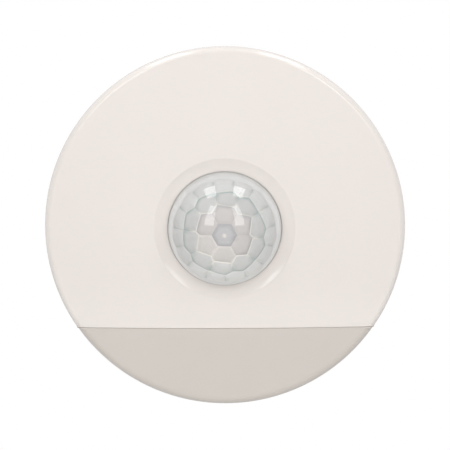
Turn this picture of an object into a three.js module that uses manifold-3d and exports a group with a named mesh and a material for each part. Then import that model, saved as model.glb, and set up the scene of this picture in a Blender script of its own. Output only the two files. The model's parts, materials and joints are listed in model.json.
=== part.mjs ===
// Flush-mounted round motion sensor with a night-light segment.
//
// Millimetres. The origin is the centre of the disc in the plane of the wall:
// +Z is up, -Y faces the room and +Y goes into the wall box. The axis of every
// round piece is parallel to Y, so a lathe profile is a list of [radius, y].

import * as THREE from 'three';
import { mergeVertices } from 'three/addons/utils/BufferGeometryUtils.js';
import Module from 'manifold-3d';

const wasm = await Module();
wasm.setup();

const TURN = 2 * Math.PI;
const DEGREE = Math.PI / 180;
const GAP = 0.3; // clearance between pieces that lie on each other

// Cover and diffuser
const DISC_RADIUS = 40;
const DISC_SEGMENTS = 60;
const FACE_Y = -10.0; // crown of the face, where it would meet the axis
const CROWN_RADIUS = 240;
const COVER_WALL = 1.8;
const WIDEST_Y = -4.4;
const RIM_BACK_Y = -0.3;
const RIM_TAPER = 0.7; // the rim draws in by this much towards the wall
const RIM_WALL = 1.7;
const FACE_EDGE_RADIUS = 38.6; // where the face starts to turn over into the rim
const DISH_RADIUS = 15.6;
const DISH_DEPTH = 0.6;
const LENS_HOLE_RADIUS = 12.95;
const CUT_Z = -22.4; // straight edge between cover and diffuser
const CUT_GAP = 0.2;
const DIFFUSER_SETBACK = 0.8;
const DIFFUSER_WALL = 1.5;
const DIFFUSER_EDGE_RADIUS = 37.7;
const TONGUE_TOP_Z = -19.5;
const TONGUE_WALL = 0.9;
const TONGUE_RADIUS = 35;
const POST_RING_RADIUS = 33.5;
const POST_RADIUS = 1.5;
const POST_END_Y = -0.2;
const POST_ANGLES = [45, 135, 208, 332];

// Lens
const LENS_RADIUS = 12.6;
const LENS_CENTRE_Y = -9.3;
const LENS_WALL = 0.7;
const FLANGE_RADIUS = 15.2;
const FLANGE_FRONT_Y = -5.5;
const FLANGE_BACK_Y = -4.9;

// Chassis
const CHASSIS_RADIUS = 27.2;
const CHASSIS_FRONT_Y = -3.0;
const CHASSIS_BACK_Y = -1.5;
const COLLAR_RADIUS = 16;
const COLLAR_HOLE_RADIUS = 13.2;
const COLLAR_FRONT_Y = -4.6;

// Light unit, as a stack of depths from the room to the wall
const TRAY_FRONT_Y = -4.0;
const LED_FRONT_Y = -3.75;
const LED_BACK_Y = -3.0;
const LED_BOARD_FRONT_Y = -2.9;
const LED_BOARD_BACK_Y = -2.2;
const TRAY_FLOOR_Y = -2.1;
const TRAY_BACK_Y = -1.5;
const TRAY_RADIUS = 36;
const TRAY_TOP_Z = -23.2;
const TRAY_PIN = [20, -26.4];
const LED_Z = -28;
const LED_PLACES = [-15.5, -7.5, 7.5, 15.5];

// Wall side
const FRAME_RADIUS = 36.6;
const FRAME_FRONT_Y = -1.2;
const BOX_SCREW_RING_RADIUS = 30; // box screws stand 60 mm apart
const HOUSING_RADIUS = 24.5;
const HOUSING_WALL = 1.5;
const HOUSING_FRONT_Y = -1.4;
const HOUSING_BACK_Y = 28.5;
const HOUSING_FLANGE_RADIUS = 27;
const POCKET_X = 21.2; // flat side of the housing behind each claw
const POCKET_HALF_HEIGHT = 7;

// Boards
const BOARD_RADIUS = 22.3;
const BOARD_WALL = 1.6;
const SENSOR_BOARD_Y = -0.7;
const POWER_BOARD_Y = 9;
const BOARD_FLAT_X = 19.4;
const POWER_PARTS_Y = POWER_BOARD_Y + BOARD_WALL + 0.2; // front of what stands on the power board

// Claws
const CLAW_SCREW_X = 25.4;
const CLAW_PIVOT_X = 22.9;
const CLAW_PIVOT_Y = 6.6;
const CLAW_HALF_WIDTH = 4;
const CLAW_SHEET = 1.4;
const CLAW_PIN_RADIUS = 0.8;

// Fixing screws of the housing, and the small ones of the sensor board
const HOUSING_SCREW_RING_RADIUS = 20.1;
const HOUSING_SCREW_ANGLES = [150, 330];
const BOARD_SCREW_RING_RADIUS = 18.6;
const BOARD_SCREW_ANGLES = [200, 20];

// Adjusters
const TRIMMER_RING_RADIUS = 19.2;
const TRIMMER_HALF_WIDTH = 2.6;
const TRIMMERS = { time: 120, light_level: 90, sensitivity: 60 };

// Terminals
const POLE_PITCH = 7.2;
const TERMINAL_SCREW_Z = -13;
const WIRE_HOLE_Z = -17.6;
const TERMINAL_BACK_Y = 29.6;

const finish = (color, roughness, metalness = 0) =>
  new THREE.MeshStandardMaterial({ color, roughness, metalness });

const MATERIALS = {
  coverWhite: finish('#eee8e2', 0.35),
  diffuser: finish('#d1cac4', 0.55),
  lens: finish('#cfd0cc', 0.2),
  innerWhite: finish('#e4e2dd', 0.6),
  housingGrey: finish('#c9cbc9', 0.6),
  steel: finish('#b9bbbd', 0.4, 1),
  brass: finish('#c9a75a', 0.35, 1),
  can: finish('#c8c9c6', 0.25, 1),
  board: finish('#2f6b45', 0.5),
  blackPlastic: finish('#26272a', 0.5),
  bluePlastic: finish('#2f5fa8', 0.45),
  led: finish('#f3efd9', 0.3),
  redCopper: finish('#a5502f', 0.6),
};

// ---------------------------------------------------------------- solids

function solid(geometry) {
  const bare = geometry.clone();
  bare.deleteAttribute('normal');
  bare.deleteAttribute('uv');
  const merged = mergeVertices(bare, 1e-4);
  const index = Array.from(merged.index.array);
  const triangles = [];
  for (let i = 0; i < index.length; i += 3) {
    const [a, b, c] = index.slice(i, i + 3);
    if (a !== b && b !== c && c !== a) triangles.push(a, b, c);
  }
  return new wasm.Manifold(
    new wasm.Mesh({
      numProp: 3,
      vertProperties: new Float32Array(merged.attributes.position.array),
      triVerts: new Uint32Array(triangles),
    }),
  );
}

function geometryOf(manifold) {
  const mesh = manifold.getMesh();
  const geometry = new THREE.BufferGeometry();
  geometry.setAttribute('position', new THREE.BufferAttribute(mesh.vertProperties, 3));
  geometry.setIndex(new THREE.BufferAttribute(mesh.triVerts, 1));
  geometry.computeVertexNormals();
  return geometry;
}

const join = (first, ...others) => others.reduce((sum, next) => sum.add(next), first);
const cut = (body, ...tools) => tools.reduce((rest, tool) => rest.subtract(tool), body);

// A closed ring turned about the Y axis. The profile may run either way round.
function ring(profile, segments = 48) {
  const area = profile.reduce((sum, [r, y], i) => {
    const [nextR, nextY] = profile[(i + 1) % profile.length];
    return sum + r * nextY - nextR * y;
  }, 0);
  const ordered = area > 0 ? [...profile] : [...profile].reverse();
  const touchesAxis = ordered.some(([r]) => r === 0);
  if (touchesAxis) {
    while (!(ordered[0][0] === 0 && ordered.at(-1)[0] === 0)) ordered.push(ordered.shift());
  } else {
    ordered.push(ordered[0]);
  }
  return solid(new THREE.LatheGeometry(ordered.map(([r, y]) => new THREE.Vector2(r, y)), segments));
}

// A cylinder along Y between two depths.
function rod(radius, front, back, x = 0, z = 0, segments = 12) {
  const geometry = new THREE.CylinderGeometry(radius, radius, back - front, segments);
  return solid(geometry.translate(x, (front + back) / 2, z));
}

// A cylinder along Z between two heights.
function upright(radius, bottom, top, x, y, segments = 12) {
  const geometry = new THREE.CylinderGeometry(radius, radius, top - bottom, segments);
  return solid(geometry.rotateX(Math.PI / 2).translate(x, y, (bottom + top) / 2));
}

function block(x0, x1, y0, y1, z0, z1) {
  const geometry = new THREE.BoxGeometry(x1 - x0, y1 - y0, z1 - z0);
  return solid(geometry.translate((x0 + x1) / 2, (y0 + y1) / 2, (z0 + z1) / 2));
}

// A flat outline in X and Z, thick from one depth to the other.
function plate(shape, front, back, curveSegments = 16) {
  const geometry = new THREE.ExtrudeGeometry(shape, {
    depth: back - front,
    bevelEnabled: false,
    curveSegments,
  });
  return solid(geometry.rotateX(Math.PI / 2).translate(0, back, 0));
}

// A flat outline in X and Y, thick from one height to the other.
function profileSlab(points, bottom, top) {
  const shape = new THREE.Shape(points.map(([x, y]) => new THREE.Vector2(x, y)));
  const geometry = new THREE.ExtrudeGeometry(shape, { depth: top - bottom, bevelEnabled: false });
  return solid(geometry.translate(0, 0, bottom));
}

// The part of a disc that lies below a height.
function segmentShape(radius, top) {
  const half = Math.acos(-top / radius);
  const shape = new THREE.Shape();
  shape.absarc(0, 0, radius, -Math.PI / 2 - half, -Math.PI / 2 + half, false);
  shape.closePath();
  return shape;
}

const onRing = (radius, degrees) => [
  radius * Math.cos(degrees * DEGREE),
  radius * Math.sin(degrees * DEGREE),
];

const steps = (count, from, to) =>
  Array.from({ length: count + 1 }, (_, i) => from + ((to - from) * i) / count);

// A quarter of an ellipse in a profile, from the start angle to the end angle.
const bend = (r, y, halfR, halfY, fromDegrees, toDegrees, count) =>
  steps(count, fromDegrees, toDegrees).map((angle) => [
    r + halfR * Math.cos(angle * DEGREE),
    y + halfY * Math.sin(angle * DEGREE),
  ]);

const faceY = (r) => FACE_Y + (r * r) / (2 * CROWN_RADIUS);

// ---------------------------------------------------------------- cover

function rimBack(outerRadius, wall) {
  return [
    [outerRadius - RIM_TAPER, RIM_BACK_Y],
    [outerRadius - RIM_TAPER - wall, RIM_BACK_Y],
    [outerRadius - wall - 0.1, WIDEST_Y],
  ];
}

function frontCover() {
  const dishFloorY = faceY(DISH_RADIUS) + DISH_DEPTH;
  const edgeY = faceY(FACE_EDGE_RADIUS);
  const outside = [
    [LENS_HOLE_RADIUS, dishFloorY],
    ...bend(DISH_RADIUS - 0.5, faceY(DISH_RADIUS) + 0.25, 0.5, 0.25, 200, 270, 2),
    ...steps(3, DISH_RADIUS + 0.6, 34).map((r) => [r, faceY(r)]),
    ...bend(FACE_EDGE_RADIUS, WIDEST_Y, DISC_RADIUS - FACE_EDGE_RADIUS, WIDEST_Y - edgeY, 270, 360, 4),
  ];
  const inside = [
    [37.2, faceY(37.2) + COVER_WALL],
    ...steps(1, 30, DISH_RADIUS + 1.4).map((r) => [r, faceY(r) + COVER_WALL]),
    [DISH_RADIUS + 0.9, dishFloorY + 1.4],
    [LENS_HOLE_RADIUS, dishFloorY + 1.4],
  ];
  const shell = ring([...outside, ...rimBack(DISC_RADIUS, RIM_WALL), ...inside], DISC_SEGMENTS);
  const posts = POST_ANGLES.map((angle) => {
    const [x, z] = onRing(POST_RING_RADIUS, angle);
    const root = rod(POST_RADIUS + 0.8, faceY(POST_RING_RADIUS) + 1.2, FRAME_FRONT_Y - GAP, x, z);
    return root.add(rod(POST_RADIUS, -3, POST_END_Y, x, z));
  });
  const below = block(-50, 50, -20, 5, -50, CUT_Z);
  return cut(join(shell, ...posts), below);
}

function lightDiffuser() {
  const front = (r) => faceY(r) + DIFFUSER_SETBACK;
  const radius = DISC_RADIUS - 0.05;
  const edge = DIFFUSER_EDGE_RADIUS;
  const shell = ring(
    [
      [20, front(20)],
      ...steps(3, 25, edge - 1.5).map((r) => [r, front(r)]),
      ...bend(edge, WIDEST_Y, radius - edge, WIDEST_Y - front(edge), 270, 360, 4),
      ...rimBack(radius, DIFFUSER_WALL),
      [edge - 1, front(edge - 1) + DIFFUSER_WALL],
      ...steps(2, 33, 20).map((r) => [r, front(r) + DIFFUSER_WALL]),
    ],
    DISC_SEGMENTS,
  );
  const tongueFront = (r) => faceY(r) + COVER_WALL + GAP;
  const tongue = ring(
    [
      ...steps(2, 19, TONGUE_RADIUS).map((r) => [r, tongueFront(r)]),
      ...steps(2, TONGUE_RADIUS, 19).map((r) => [r, tongueFront(r) + TONGUE_WALL]),
    ],
    DISC_SEGMENTS,
  );
  const segment = shell.intersect(block(-50, 50, -20, 5, -50, CUT_Z - CUT_GAP));
  return segment.add(tongue.intersect(block(-50, 50, -20, 5, CUT_Z - 1.6, TONGUE_TOP_Z)));
}

// ---------------------------------------------------------------- lens

function pirLens() {
  const inner = LENS_RADIUS - LENS_WALL;
  const profile = [
    ...bend(0, LENS_CENTRE_Y, LENS_RADIUS, LENS_RADIUS, 270, 360, 8).slice(1),
    [LENS_RADIUS, FLANGE_FRONT_Y],
    [FLANGE_RADIUS, FLANGE_FRONT_Y],
    [FLANGE_RADIUS, FLANGE_BACK_Y],
    [inner, FLANGE_BACK_Y],
    ...bend(0, LENS_CENTRE_Y, inner, inner, 360, 270, 7).slice(0, -1),
  ];
  const onAxis = [
    [0, LENS_CENTRE_Y - inner],
    [0, LENS_CENTRE_Y - LENS_RADIUS],
  ];
  const outerAndInner = [onAxis[1], ...profile, onAxis[0]];
  return solid(
    new THREE.LatheGeometry(outerAndInner.map(([r, y]) => new THREE.Vector2(r, y)), 40),
  );
}

function lensRetainingRing() {
  const front = FLANGE_FRONT_Y - 0.2 - 0.7;
  return ring(
    [
      [13.1, front],
      [15.9, front],
      [15.9, -4.9],
      [15.5, -4.9],
      [15.5, FLANGE_FRONT_Y - 0.2],
      [13.1, FLANGE_FRONT_Y - 0.2],
    ],
    36,
  );
}

// ---------------------------------------------------------------- chassis

function frontChassis() {
  const plateRing = ring(
    [
      [COLLAR_HOLE_RADIUS, COLLAR_FRONT_Y],
      [COLLAR_RADIUS - 0.8, COLLAR_FRONT_Y],
      [COLLAR_RADIUS, COLLAR_FRONT_Y + 0.5],
      [COLLAR_RADIUS, CHASSIS_FRONT_Y],
      [CHASSIS_RADIUS, CHASSIS_FRONT_Y],
      [CHASSIS_RADIUS, CHASSIS_BACK_Y],
      [COLLAR_HOLE_RADIUS, CHASSIS_BACK_Y],
    ],
    40,
  );
  const clawNotches = [-1, 1].map((side) => {
    const [near, far] = [side * 22, side * 30].sort((a, b) => a - b);
    return block(near, far, -8, 2, -3.2, 3.2);
  });
  const wells = Object.values(TRIMMERS).map((angle) => trimmerBlock(angle, 0.4, -8, 2));
  const screwHoles = HOUSING_SCREW_ANGLES.map((angle) => {
    const [x, z] = onRing(HOUSING_SCREW_RING_RADIUS, angle);
    return rod(1.8, -8, 2, x, z);
  });
  const boardScrewHoles = BOARD_SCREW_ANGLES.map((angle) => {
    const [x, z] = onRing(BOARD_SCREW_RING_RADIUS, angle);
    return rod(1.3, -8, 2, x, z);
  });
  const belowTray = block(-30, 30, -8, 2, -30, TRAY_TOP_Z + 0.4);
  const leadNotch = block(-2.6, 2.6, -8, 2, -30, -18.5);
  const holes = [...wells, ...screwHoles, ...boardScrewHoles];
  return cut(plateRing, ...clawNotches, ...holes, belowTray, leadNotch);
}

// ---------------------------------------------------------------- adjusters

function trimmerBlock(angle, margin, front, back) {
  const half = TRIMMER_HALF_WIDTH + margin;
  const geometry = new THREE.BoxGeometry(2 * half, back - front, 2 * half);
  const [x, z] = onRing(TRIMMER_RING_RADIUS, angle);
  return solid(geometry.rotateY(-angle * DEGREE).translate(x, (front + back) / 2, z));
}

function trimmerBody(angle) {
  const [x, z] = onRing(TRIMMER_RING_RADIUS, angle);
  return cut(
    trimmerBlock(angle, 0, -3.9, SENSOR_BOARD_Y - 0.1),
    rod(2.15, -5, -2.2, x, z, 16),
  );
}

function trimmerRotor(angle) {
  const [x, z] = onRing(TRIMMER_RING_RADIUS, angle);
  return cut(
    rod(2.05, -4.4, -2.3, x, z, 16),
    block(x - 1.6, x + 1.6, -6, -3.7, z - 0.3, z + 0.3),
    block(x + 0.6, x + 1.2, -6, -3.9, z - 0.8, z + 0.8),
  );
}

// ---------------------------------------------------------------- sensing

function pyroSensor() {
  return ring(
    [
      [0, -8.6],
      [2.0, -8.6],
      [2.2, -8.75],
      [3.9, -8.75],
      [4.1, -8.5],
      [4.1, -5.0],
      [4.6, -4.9],
      [4.6, -4.4],
      [0, -4.4],
    ],
    24,
  );
}

const pyroSpacer = () => ring([[0, -4.1], [4.4, -4.1], [4.4, -0.8], [0, -0.8]], 24);

function lightSensor() {
  return ring(
    [
      [0, -5.3],
      [0.8, -5.1],
      [1.4, -4.5],
      [1.5, -3.8],
      [1.5, -1.8],
      [1.8, -1.8],
      [1.8, -0.8],
      [0, -0.8],
    ],
    16,
  ).translate([8.4, 0, -3.2]);
}

// The bosses that take the housing screws, each run into the housing wall.
const screwBosses = (radius, front, back) =>
  HOUSING_SCREW_ANGLES.flatMap((angle) =>
    [HOUSING_SCREW_RING_RADIUS, HOUSING_RADIUS - HOUSING_WALL].map((distance) =>
      rod(radius, front, back, ...onRing(distance, angle)),
    ),
  );

// A round board with a flat beside each claw, and a bay round each housing screw.
function roundBoard(front) {
  const bays = screwBosses(2.8, front - 1, front + 3);
  return cut(
    rod(BOARD_RADIUS, front, front + BOARD_WALL, 0, 0, 36),
    block(BOARD_FLAT_X, 30, front - 1, front + 3, -30, 30),
    block(-30, -BOARD_FLAT_X, front - 1, front + 3, -30, 30),
    ...bays,
  );
}

function sensorBoard() {
  const holes = BOARD_SCREW_ANGLES.map((angle) => {
    const [x, z] = onRing(BOARD_SCREW_RING_RADIUS, angle);
    return rod(1.3, -3, 3, x, z);
  });
  return cut(roundBoard(SENSOR_BOARD_Y), ...holes);
}

function boardScrew(angle) {
  const [x, z] = onRing(BOARD_SCREW_RING_RADIUS, angle);
  const back = SENSOR_BOARD_Y + BOARD_WALL;
  return cut(
    join(rod(1.9, back + 0.1, back + 1.3, x, z), rod(1, -3.2, back + 0.4, x, z, 12)),
    ...crossSlot(x, z, back + 0.7, back + 2, 1.3),
  );
}

// ---------------------------------------------------------------- screws

function crossSlot(x, z, front, back, half) {
  const thin = half * 0.25;
  return [
    block(x - half, x + half, front, back, z - thin, z + thin),
    block(x - thin, x + thin, front, back, z - half, z + half),
  ];
}

function housingScrew(angle) {
  const [x, z] = onRing(HOUSING_SCREW_RING_RADIUS, angle);
  const head = rod(2.7, -4.7, -3.3, x, z, 20);
  const shaft = rod(1.4, -3.5, 11, x, z, 12);
  return cut(head.add(shaft), ...crossSlot(x, z, -6, -4, 1.7));
}

function clawScrew(side) {
  const x = side * CLAW_SCREW_X;
  const head = rod(2.4, -3.1, -1.5, x, 0, 20);
  const shaft = rod(1.4, -1.8, 20, x, 0, 12);
  return cut(head.add(shaft), block(x - 3, x + 3, -4, -2.4, -0.4, 0.4));
}

function terminalScrew(x) {
  const head = rod(1.9, 24.8, 27.2, x, TERMINAL_SCREW_Z, 20);
  const shaft = rod(1.2, 14.4, 25, x, TERMINAL_SCREW_Z, 12);
  const slot = block(x - 3, x + 3, 26.3, 28, TERMINAL_SCREW_Z - 0.35, TERMINAL_SCREW_Z + 0.35);
  return cut(head.add(shaft), slot);
}

// ---------------------------------------------------------------- light unit

const screwAccess = () => rod(3.9, -8, 2, 0, -BOX_SCREW_RING_RADIUS, 20);

function lightTray() {
  const [pinX, pinZ] = TRAY_PIN;
  const pins = [-pinX, pinX].map((x) => rod(1.2, TRAY_FLOOR_Y + 0.2, POST_END_Y, x, pinZ));
  const tray = cut(
    plate(segmentShape(TRAY_RADIUS, TRAY_TOP_Z), TRAY_FRONT_Y, TRAY_BACK_Y),
    plate(segmentShape(TRAY_RADIUS - 1, TRAY_TOP_Z - 1), -6, TRAY_FLOOR_Y),
    screwAccess(),
    block(-1.6, 1.6, -5, 0, -24.3, -22),
  );
  return join(tray, ...pins);
}

const ledBoard = () =>
  cut(
    plate(segmentShape(TRAY_RADIUS - 1.4, TRAY_TOP_Z - 1.4), LED_BOARD_FRONT_Y, LED_BOARD_BACK_Y),
    screwAccess(),
  );

const lightEmitter = (x) =>
  cut(
    block(x - 1.75, x + 1.75, LED_FRONT_Y, LED_BACK_Y, LED_Z - 1.4, LED_Z + 1.4),
    rod(1.1, -5, LED_FRONT_Y + 0.2, x, LED_Z, 16),
  );

function ledLead() {
  const route = new THREE.CatmullRomCurve3(
    [[-26, -3.45], [-25, -3.4], [-23.9, -2.9], [-22.2, -2.5], [-20.8, -1.9], [-19.4, -1.3]].map(
      ([z, y]) => new THREE.Vector3(0, y, z),
    ),
  );
  const section = new THREE.Shape();
  section.absarc(0, 0, 0.45, 0, TURN, false);
  return solid(
    new THREE.ExtrudeGeometry(section, { extrudePath: route, steps: 10, curveSegments: 4 }),
  );
}

// ---------------------------------------------------------------- wall side

function sideBlock(side, near, far, y0, y1, z0, z1) {
  const [x0, x1] = side > 0 ? [near, far] : [-far, -near];
  return block(x0, x1, y0, y1, z0, z1);
}

const SIDES = { left: -1, right: 1 };

function mountingFrame() {
  const disc = rod(FRAME_RADIUS, FRAME_FRONT_Y, 0, 0, 0, 60);
  const opening = cut(
    rod(HOUSING_RADIUS + GAP, -3, 3, 0, 0, 40),
    ...Object.values(SIDES).map((side) =>
      sideBlock(side, POCKET_X + GAP, 40, -5, 5, -POCKET_HALF_HEIGHT + GAP, POCKET_HALF_HEIGHT - GAP),
    ),
  );
  const postHoles = POST_ANGLES.map((angle) => rod(2, -3, 3, ...onRing(POST_RING_RADIUS, angle)));
  const trayHoles = [-1, 1].map((side) => rod(1.6, -3, 3, side * TRAY_PIN[0], TRAY_PIN[1]));
  const boxSlots = [90, 270].map((angle) => curvedSlot(angle, 7, 1.9));
  const clawHoles = Object.values(SIDES).map((side) => rod(1.8, -3, 3, side * CLAW_SCREW_X, 0));
  const holes = [opening, ...postHoles, ...trayHoles, ...boxSlots, ...clawHoles];
  const tabs = Object.values(SIDES).flatMap((side) =>
    [-1, 1].map((up) => {
      const [z0, z1] = up > 0 ? [4.6, 5.8] : [-5.8, -4.6];
      return cut(
        sideBlock(side, CLAW_PIVOT_X - 1.1, 26.8, FRAME_FRONT_Y + 0.4, CLAW_PIVOT_Y + 2.2, z0, z1),
        upright(CLAW_PIN_RADIUS + 0.25, -7, 7, side * CLAW_PIVOT_X, CLAW_PIVOT_Y, 12),
      );
    }),
  );
  return join(cut(disc, ...holes), ...tabs);
}

// A slot that follows the ring of box screws.
function curvedSlot(angle, spread, halfWidth) {
  const shape = new THREE.Shape();
  const [from, to] = [(angle - spread) * DEGREE, (angle + spread) * DEGREE];
  const radius = BOX_SCREW_RING_RADIUS;
  shape.absarc(0, 0, radius + halfWidth, from, to, false);
  const round = (at, start) => {
    const centre = [radius * Math.cos(at), radius * Math.sin(at)];
    shape.absarc(...centre, halfWidth, start, start + Math.PI, false);
  };
  round(to, to);
  shape.absarc(0, 0, radius - halfWidth, to, from, true);
  round(from, from + Math.PI);
  return plate(shape, -3, 3, 6);
}

function rearHousing() {
  const inner = HOUSING_RADIUS - HOUSING_WALL;
  const floorFront = HOUSING_BACK_Y - HOUSING_WALL;
  const pockets = Object.values(SIDES).map((side) =>
    sideBlock(side, POCKET_X, 40, -5, 40, -POCKET_HALF_HEIGHT, POCKET_HALF_HEIGHT),
  );
  const outer = ring(
    [
      [0, HOUSING_FRONT_Y],
      [HOUSING_RADIUS, HOUSING_FRONT_Y],
      [HOUSING_RADIUS, GAP],
      [HOUSING_FLANGE_RADIUS, GAP],
      [HOUSING_FLANGE_RADIUS, GAP + 1.4],
      [HOUSING_RADIUS, GAP + 1.4],
      [HOUSING_RADIUS - 0.4, HOUSING_BACK_Y - 1],
      [HOUSING_RADIUS - 1.4, HOUSING_BACK_Y],
      [0, HOUSING_BACK_Y],
    ],
    40,
  );
  const aroundPocket = POCKET_HALF_HEIGHT + HOUSING_WALL;
  const pocketWalls = Object.values(SIDES).map((side) =>
    sideBlock(side, POCKET_X - HOUSING_WALL, 40, -8, 40, -aroundPocket, aroundPocket),
  );
  const cavity = cut(
    rod(inner, -5, floorFront, 0, 0, 40),
    ...pocketWalls,
    ...screwBosses(2.5, HOUSING_FRONT_Y - 0.1, 14),
    ...[70, 110, 225, 315].map((angle) =>
      rod(1.6, POWER_BOARD_Y + BOARD_WALL + 0.1, 40, ...onRing(inner, angle), 12),
    ),
  );
  const window = block(-11.4, 11.4, 20, 40, -20.3, -9.6);
  const screwBores = HOUSING_SCREW_ANGLES.map((angle) => {
    const [x, z] = onRing(HOUSING_SCREW_RING_RADIUS, angle);
    return rod(1.7, -5, 12.5, x, z);
  });
  const vents = [-9, -4.5, 0, 4.5, 9].map((x) => block(x - 0.7, x + 0.7, 20, 40, 3, 13));
  return cut(outer, ...pockets, cavity, window, ...screwBores, ...vents);
}

function claw(side) {
  const far = CLAW_PIVOT_X + 6.1;
  const heelFront = CLAW_PIVOT_Y - CLAW_SHEET / 2;
  const heelBack = CLAW_PIVOT_Y + CLAW_SHEET / 2;
  const tip = 22.4;
  const outline = [
    [CLAW_PIVOT_X, heelFront],
    [far, heelFront],
    [far, tip - 4.5],
    [far + 0.5, tip - 4.2],
    [far, tip - 3],
    [far + 0.5, tip - 2.7],
    [far, tip - 1.5],
    [far + 0.5, tip - 1.2],
    [far, tip],
    [far - CLAW_SHEET, tip],
    [far - CLAW_SHEET, heelBack],
    [CLAW_PIVOT_X, heelBack],
  ].map(([x, y]) => [side * x, y]);
  const lever = profileSlab(side > 0 ? outline : outline.reverse(), -CLAW_HALF_WIDTH, CLAW_HALF_WIDTH);
  const pivotX = side * CLAW_PIVOT_X;
  const knuckle = upright(1.5, -CLAW_HALF_WIDTH, CLAW_HALF_WIDTH, pivotX, CLAW_PIVOT_Y, 20);
  return cut(
    lever.add(knuckle),
    upright(CLAW_PIN_RADIUS + 0.1, -6, 6, pivotX, CLAW_PIVOT_Y, 16),
    sideBlock(side, CLAW_SCREW_X - 1.9, CLAW_SCREW_X + 2.1, 4, 9, -1.9, 1.9),
    sideBlock(side, far - 3, far + 3, 10.5, 17, -2, 2),
  );
}

const clawPin = (side) =>
  upright(CLAW_PIN_RADIUS, -6.4, 6.4, side * CLAW_PIVOT_X, CLAW_PIVOT_Y, 16);

// ---------------------------------------------------------------- power board

const signalChip = () => block(-6, 6, SENSOR_BOARD_Y + BOARD_WALL + 0.1, 2.6, 1, 5);
const boardConnector = () => block(-5, 5, 1.1, POWER_BOARD_Y - 0.1, -17.8, -15.4);
const relay = () => block(-15.5, 3.5, POWER_PARTS_Y, 25.4, -8, 7.5);
const suppressionCapacitor = () => block(5, 18.4, POWER_PARTS_Y, 21.5, 1.2, 6.8);

function capacitorCan(radius, back, x, z) {
  const front = POWER_PARTS_Y;
  return ring(
    [
      [0, front],
      [radius, front],
      [radius, front + 1],
      [radius - 0.35, front + 1.3],
      [radius, front + 1.6],
      [radius, back - 0.4],
      [radius - 0.5, back],
      [0, back],
    ],
    16,
  ).translate([x, 0, z]);
}

const fuse = () => rod(4.1, POWER_PARTS_Y, 18, 4.4, 14.6, 24);

function varistor() {
  const geometry = new THREE.CylinderGeometry(4.6, 4.6, 3.4, 24);
  geometry.rotateX(Math.PI / 2).translate(-7, 16.4, 14);
  const legs = [-9.6, -4.4].map((x) => block(x - 0.3, x + 0.3, POWER_PARTS_Y, 16, 13.7, 14.3));
  return join(solid(geometry), ...legs);
}

// ---------------------------------------------------------------- terminals

const POLES = { live: -POLE_PITCH, neutral: 0, switched: POLE_PITCH };

function terminalBlock() {
  const body = block(-11, 11, POWER_PARTS_Y, TERMINAL_BACK_Y, -19.9, -10);
  const bores = Object.values(POLES).flatMap((x) => [
    rod(2.3, 23, 40, x, TERMINAL_SCREW_Z, 16),
    rod(1.5, 13, 25, x, TERMINAL_SCREW_Z, 10),
    rod(1.8, 13, 40, x, WIRE_HOLE_Z, 12),
    block(x - 2.9, x + 2.9, 13.8, 20.4, -19.2, -10.8),
  ]);
  const creases = [-POLE_PITCH / 2, POLE_PITCH / 2].map((x) =>
    block(x - 0.25, x + 0.25, TERMINAL_BACK_Y - 0.8, 40, -30, 0),
  );
  return cut(body, ...bores, ...creases);
}

function terminalClamp(x) {
  return cut(
    block(x - 2.5, x + 2.5, 15, 16.6, -19, -11),
    rod(1.3, 10, 20, x, TERMINAL_SCREW_Z, 16),
  );
}

// ---------------------------------------------------------------- assembly

const sensor = new THREE.Group();

function add(name, manifold, material) {
  const mesh = new THREE.Mesh(geometryOf(manifold), material);
  mesh.name = name;
  sensor.add(mesh);
}

add('front_cover', frontCover(), MATERIALS.coverWhite);
add('light_diffuser', lightDiffuser(), MATERIALS.diffuser);
add('pir_lens', pirLens(), MATERIALS.lens);
add('lens_retaining_ring', lensRetainingRing(), MATERIALS.innerWhite);
add('front_chassis', frontChassis(), MATERIALS.innerWhite);

add('pyro_sensor', pyroSensor(), MATERIALS.can);
add('pyro_spacer', pyroSpacer(), MATERIALS.blackPlastic);
add('light_sensor', lightSensor(), MATERIALS.led);
add('sensor_board', sensorBoard(), MATERIALS.board);
add('signal_chip', signalChip(), MATERIALS.blackPlastic);
for (const [name, angle] of Object.entries(TRIMMERS)) {
  add(`${name}_trimmer`, trimmerBody(angle), MATERIALS.bluePlastic);
  add(`${name}_rotor`, trimmerRotor(angle), MATERIALS.innerWhite);
}
BOARD_SCREW_ANGLES.forEach((angle, i) => add(`board_screw_${i + 1}`, boardScrew(angle), MATERIALS.steel));

add('light_tray', lightTray(), MATERIALS.innerWhite);
add('led_board', ledBoard(), MATERIALS.innerWhite);
LED_PLACES.forEach((x, i) => add(`led_${i + 1}`, lightEmitter(x), MATERIALS.led));
add('led_lead', ledLead(), MATERIALS.blackPlastic);

add('mounting_frame', mountingFrame(), MATERIALS.steel);
add('rear_housing', rearHousing(), MATERIALS.housingGrey);
HOUSING_SCREW_ANGLES.forEach((angle, i) =>
  add(`housing_screw_${i + 1}`, housingScrew(angle), MATERIALS.steel),
);
for (const [name, side] of Object.entries(SIDES)) {
  add(`claw_${name}`, claw(side), MATERIALS.steel);
  add(`claw_screw_${name}`, clawScrew(side), MATERIALS.steel);
  add(`claw_pin_${name}`, clawPin(side), MATERIALS.steel);
}

add('board_connector', boardConnector(), MATERIALS.blackPlastic);
add('power_board', roundBoard(POWER_BOARD_Y), MATERIALS.board);
add('relay', relay(), MATERIALS.bluePlastic);
add('suppression_capacitor', suppressionCapacitor(), MATERIALS.bluePlastic);
add('main_capacitor', capacitorCan(4, 23, 9.4, -4.4), MATERIALS.blackPlastic);
add('small_capacitor', capacitorCan(2.5, 21, 16.4, -3), MATERIALS.blackPlastic);
add('fuse', fuse(), MATERIALS.blackPlastic);
add('varistor', varistor(), MATERIALS.redCopper);

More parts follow.
